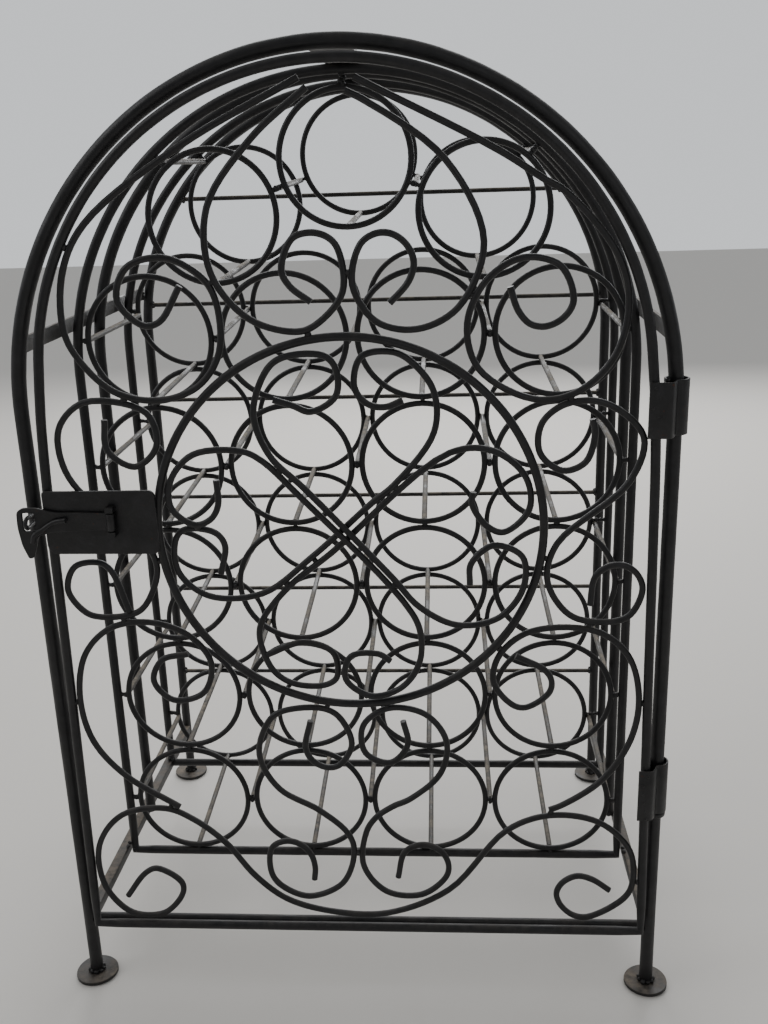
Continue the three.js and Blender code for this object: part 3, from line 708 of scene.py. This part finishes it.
def top_rings(where, f, with_rods):
    dx, dz = f["shift"]
    spots = [(-SIDE_RING[0], SIDE_RING[1]), TOP_RING, SIDE_RING]
    rings = [(circle(x + dx, z + dz, BOTTLE_R, f["y"]), True) for x, z in spots]
    welds = []
    depth = []
    y0 = PANEL_B["y"] + 2
    inner = f["half"] - f["r"]
    for side in (-1, 1):
        x, z = side * SIDE_RING[0], SIDE_RING[1]
        mx, mz = x / 2, (z + TOP_RING[1]) / 2
        across = Vector((x, z - TOP_RING[1])).normalized()
        for t in (-3.8, -1.4, 1.2, 3.8):
            welds.append(place(mx + dx + across.x * t, f["y"], mz + dz + across.y * t))
        # The outer rod passes just inside the middle arch and is tied to the ring and to the arch.
        rod = Vector((x, z - MIDDLE["z"])).normalized() * 213.2 + Vector((0, MIDDLE["z"]))
        ring = rod - Vector((x + dx, z + dz))
        near = rod - ring.normalized() * max(ring.length - BOTTLE_R, 0)
        arch = Vector((0, f["z"])) + (rod - Vector((0, f["z"]))).normalized() * inner
        for start, end in ((near, rod), (rod, arch)):
            welds += [place(p.x, f["y"], p.y) for p in (start.lerp(end, t) for t in (0, 0.5, 1))]
        depth.append(depth_rod(mx, mz, y0))
        depth.append(depth_rod(x, z - BOTTLE_R, y0))
        depth.append(depth_rod(rod.x, rod.y, y0 + 2, (0, 0)))
    top = TOP_RING[1] + dz + BOTTLE_R + 2.2
    for t, a in ((0, 1), (0.3, -1), (0.6, 1.4), (1, 0)):
        welds.append(place(dx + a, f["y"], top + (f["z"] + inner - top) * t))
    depth.append(depth_rod(0, TOP_RING[1] - BOTTLE_R, y0))
    meshes = [rods(rings, SMALL_ROD, BLACK, 12, 0.25), beads(welds, 2.4)]
    if with_rods:
        meshes.append(rods(depth, 2.35, RODS, 12, 0.35))
    piece(f"{where}_bottle_rings_top", "cage", meshes, [f"{where}_rings_top"])


def bottle_rings():
    for where, f, with_rods in (("front", PANEL_B, False), ("rear", PANEL_E, True)):
        for k in range(ROWS):
            ring_row(where, f, k, with_rods)
        top_rings(where, f, with_rods)


# ---------------------------------------------------------------- door


def door_outline():
    upright = [(225, 61), (223, 200), (221.5, 300), (220.3, 400), (219.3, 455), (217.8, 490), (215.6, 518)]
    y, mid = DOOR["y"], DOOR["mid"]
    right = smooth([place(mid + x, y, z) for x, z in upright], 6)[:-1]
    left = smooth([place(mid - x, y, z) for x, z in upright[::-1]], 6)[1:]
    over = arc(mid, DOOR["arch_z"], DOOR["arch_r"], DOOR["arch_r"], 5, 175, 100, y)
    bottom = [place(mid - 225 + 450 * i / 24, y, 61) for i in range(1, 24)]
    return right + over + left + bottom


def contacts(curves, reach_mm=7.4, apart_mm=26):
    """Where two of the curves nearly touch, with at most one spot for each stretch."""
    spots = []
    names = list(curves)
    for i, a in enumerate(names):
        for b in names[i + 1 :]:
            near = []
            for p in curves[a][::2]:
                q = min(curves[b], key=lambda v: (v - p).length_squared)
                gap = (p - q).length * 1000
                if gap < reach_mm:
                    near.append((gap, (p + q) / 2))
            for gap, spot in sorted(near, key=lambda item: item[0]):
                if all((spot - other).length * 1000 > apart_mm for other in spots):
                    spots.append(spot)
    return spots


def door():
    y = DOOR["y"]
    curves = {"frame": door_outline(), "ring": circle(BIG_RING["x"], BIG_RING["z"], BIG_RING["r"], y, 160)}
    for name, points in SCROLLS.items():
        depth = y + LAYERS.get(name, 0) * 2.55
        curves[name] = smooth([place(x, depth, z) for x, z in points], 7)
    welds = contacts(curves)
    outline = rods([(curves["frame"], True)], DOOR["r"], BLACK, 16, 0.35)
    piece("door_frame_bar", "door", [outline], ["door_frame"])
    piece(
        "door_big_ring",
        "door",
        [rods([(curves["ring"], True)], BIG_RING["bar"], BLACK, 16, 0.3), beads(welds, 2.6)],
        ["door_ring"],
    )
    for name in SCROLLS:
        node_name = "door_cross_rod_" + name[2] if name in LAYERS else "door_" + name
        rod = rods([(curves[name], False)], SMALL_ROD, BLACK, 14, 0.3)
        piece(node_name + "_rod", "door", [rod], [node_name])


def hinges():
    cx = FRAME["half"]
    for name, (z0, z1) in HINGES.items():
        mid = (z0 + z1) / 2
        reach = 213.4 if name.endswith("upper") else 218.4
        turn = [math.radians(-97 + 320 * i / 40) for i in range(41)]
        wrap = [place(cx + 8.1 * math.cos(a), 8.1 * math.sin(a), mid) for a in turn]
        plan = ((reach, -16.8), (222, -16.8), (228.6, -16.6), (231.4, -13.2))
        arm = [place(x, y, mid) for x, y in plan]
        path = smooth(arm + wrap[::4], 6)
        edge = random.Random(z0)
        joint_z = [z0 + (z1 - z0) * t for t in (0.05, 0.2, 0.38, 0.55, 0.72, 0.9)]
        joint = [place(reach + 2 + edge.uniform(0, 6), -16.2, z) for z in joint_z]
        seam_z = [z0 + (z1 - z0) * t for t in (0.04, 0.3, 0.6, 0.96)]
        seam = [place(cx - 7.4, -4.6 + edge.uniform(-0.6, 0.6), z) for z in seam_z]
        piece(
            name + "_plate",
            "door",
            [flat([(path, False)], 1.5, z1 - z0 - 0.4, PLATE, 0.4), beads(joint + seam, 2.2)],
            [name],
        )
    z1 = HINGES["hinge_strap_lower"][0] - 0.3
    turns = [2 * math.pi * i / 40 for i in range(40)]
    collar = [place(cx + 7.1 * math.cos(a), 7.1 * math.sin(a), z1 - 2) for a in turns]
    piece("hinge_stop_weld", "cage", [flat([(collar, True)], 2.5, 3.6, WELD, 0.8)], ["hinge_stop_collar"])


def round_corners(outline, r, steps=4):
    """Rounds the corners of a plate's outline."""
    out = []
    n = len(outline)
    for i in range(n):
        a, b, c = (Vector(outline[j % n]) for j in (i - 1, i, i + 1))
        cut = min(r, (a - b).length / 2.2, (c - b).length / 2.2)
        p, q = b + (a - b).normalized() * cut, b + (c - b).normalized() * cut
        for k in range(steps + 1):
            t = k / steps
            spot = p * (1 - t) ** 2 + b * 2 * t * (1 - t) + q * t**2
            out.append((spot.x, spot.y))
    return out


def latch():
    px, py, z = HASP["x"], HASP["y"], HASP["z"]
    lock = [
        (-221, 398), (-216, 393.5), (-140, 393), (-137.4, 396),
        (-137.4, 439), (-140, 441.7), (-221, 441.7),
    ]
    sheet = plate(round_corners(lock, 2.5), [], 2.4, PLATE)
    sheet.transform(Matrix.Translation((0, (-17.4 - DEPTH_MID) / 1000, 0)))
    edge = random.Random(3)
    seams = [place(-219 + edge.uniform(-1, 1), -16.2, 398 + 6.5 * i) for i in range(7)]
    seams += [place(-142 - 11 * i, -16.6, 394.4 + edge.uniform(-0.4, 0.4)) for i in range(3)]
    piece("lock_plate_sheet", "door", [tidy_mesh(sheet), beads(seams, 1.9)], ["lock_plate"])

    lugs = [
        flat([([place(px, y, h) for y in (-18.7, -20.6, py - 2.8)], False)], 6, 4.1, PLATE, 0.6)
        for h in (z - 9.35, z + 9.35)
    ]
    pin = rods([([place(px, py, z - 11.4 + 22.8 * i / 8) for i in range(9)], False)], 1.45, PLATE, 12, 0.1)
    piece("hasp_pin_and_lugs", "door", [*lugs, pin], ["hasp_pin"])

    tongue = [
        (px + 1, z - 6.4), (-215, z - 7.8), (-226, z - 11), (-231, z - 27.6),
        (-235, z - 28.6), (-239, z - 18), (-240.8, z - 4), (-240.3, z + 7.8),
        (-236, z + 10.8), (-226, z + 10.8), (-212, z + 7.3), (px + 1, z + 6.4),
    ]
    slot = [(-236.4, z - 7.1), (-236.4, z + 7.1), (-227, z + 7.1), (-227, z - 7.1)]
    blade = plate(round_corners(tongue, 3), [round_corners(slot, 2)], 2.3, PLATE)
    blade.transform(Matrix.Translation((0, (-20.45 - DEPTH_MID) / 1000, 0)))
    turn = [2 * math.pi * i / 28 for i in range(28)]
    knuckle = [place(px + 2.6 * math.cos(a), py + 2.6 * math.sin(a), z) for a in turn]
    piece("hasp_blade", "hasp", [tidy_mesh(blade), flat([(knuckle, True)], 1.2, 13, PLATE, 0.3)], ["hasp"])

    front = -24
    pull = [
        place(-203, front, z + 2), place(-212, front, z + 0.5), place(-221, front - 2, z - 5),
        place(-226, front - 3.8, z - 8), place(-228, front - 3.8, z - 14),
    ]
    grip = [
        place(-204, front + 1.2, z + 2),
        place(-208, front + 1, z + 0.8),
        place(-212, front + 1.2, z + 0.4),
    ]
    meshes = [rods([(smooth(pull, 6), False)], 1.9, PLATE, 12, 0.3), beads(grip, 2.0)]
    piece("hasp_pull_rod", "hasp", meshes, ["hasp_pull"])

    sx = -231.7
    bend = [
        (-5, 3.4), (-16, 3.4), (-25.2, 3.4), (-27.3, 1.4),
        (-27.3, -1.4), (-25.2, -3.4), (-16, -3.4), (-5, -3.4),
    ]
    loop = smooth([place(sx, d, z + h) for d, h in bend], 6)
    roots = [place(sx + dx, -5.6, z + h) for h in (-3.4, 3.4) for dx in (-1.8, 1.8)]
    meshes = [rods([(loop, False)], 1.55, PLATE, 12, 0.15), beads(roots, 1.8)]
    piece("staple_loop", "cage", meshes, ["hasp_staple"])


# ---------------------------------------------------------------- floor, light and camera


def studio():
    PALE.use_nodes = True
    shader = PALE.node_tree.nodes["Principled BSDF"]
    shader.inputs["Base Color"].default_value = linear("#d9d5cf")
    shader.inputs["Roughness"].default_value = 0.7
    bpy.ops.mesh.primitive_plane_add(size=14, location=(0, 0, -0.0005))
    floor = bpy.context.object
    floor.name = "floor"
    floor.data.materials.append(PALE)

    world = bpy.data.worlds.new("studio")
    bpy.context.scene.world = world
    world.use_nodes = True
    background = world.node_tree.nodes["Background"]
    background.inputs["Color"].default_value = linear("#eceff2")
    # Bright behind the rack and dim in front of it, as in a room with one curtained window.
    along = world.node_tree.nodes.new("ShaderNodeTexCoord").outputs["Generated"]
    depth = node(world.node_tree, "ShaderNodeSeparateXYZ", Vector=along).outputs["Y"]
    glow = node(
        world.node_tree,
        "ShaderNodeMapRange",
        Value=depth,
        From_Min=-0.5,
        From_Max=0.6,
        To_Min=0.22,
        To_Max=0.95,
    )
    world.node_tree.links.new(glow.outputs[0], background.inputs["Strength"])
    for name, spot, aim, size, power in (
        ("window_light", (0.1, 1.9, 1.5), (0, 0, 0.45), 2.2, 42),
        ("left_light", (-1.8, -0.6, 1.7), (0, 0, 0.4), 1.2, 10),
        ("fill_light", (1.1, -2.2, 1.5), (0, 0, 0.4), 1.6, 6),
    ):
        data = bpy.data.lights.new(name, "AREA")
        data.size = size
        data.energy = power
        lamp = bpy.data.objects.new(name, data)
        bpy.context.scene.collection.objects.link(lamp)
        lamp.location = spot
        lamp.rotation_euler = (Vector(aim) - Vector(spot)).to_track_quat("-Z", "Y").to_euler()


def camera():
    yaw, pitch, roll = (math.radians(a) for a in (-4.10, 17.95, -1.864))
    ahead = Vector((math.sin(yaw) * math.cos(pitch), math.cos(yaw) * math.cos(pitch), -math.sin(pitch)))
    right = Vector((math.cos(yaw), -math.sin(yaw), 0))
    up = right.cross(ahead)
    across = math.cos(roll) * right + math.sin(roll) * up
    above = -math.sin(roll) * right + math.cos(roll) * up
    data = bpy.data.cameras.new("camera")
    data.sensor_fit = "HORIZONTAL"
    data.sensor_width = 36
    data.lens = 50.8
    view = bpy.data.objects.new("camera", data)
    bpy.context.scene.collection.objects.link(view)
    turned = Matrix((across, above, -ahead)).transposed().to_4x4()
    view.matrix_world = Matrix.Translation(place(81.8, -755.9, 663.2)) @ turned
    bpy.context.scene.camera = view


front_frame()
arches()
rails()
feet()
ridge()
cross_rods()
bottle_rings()
door()
hinges()
latch()
studio()
camera()
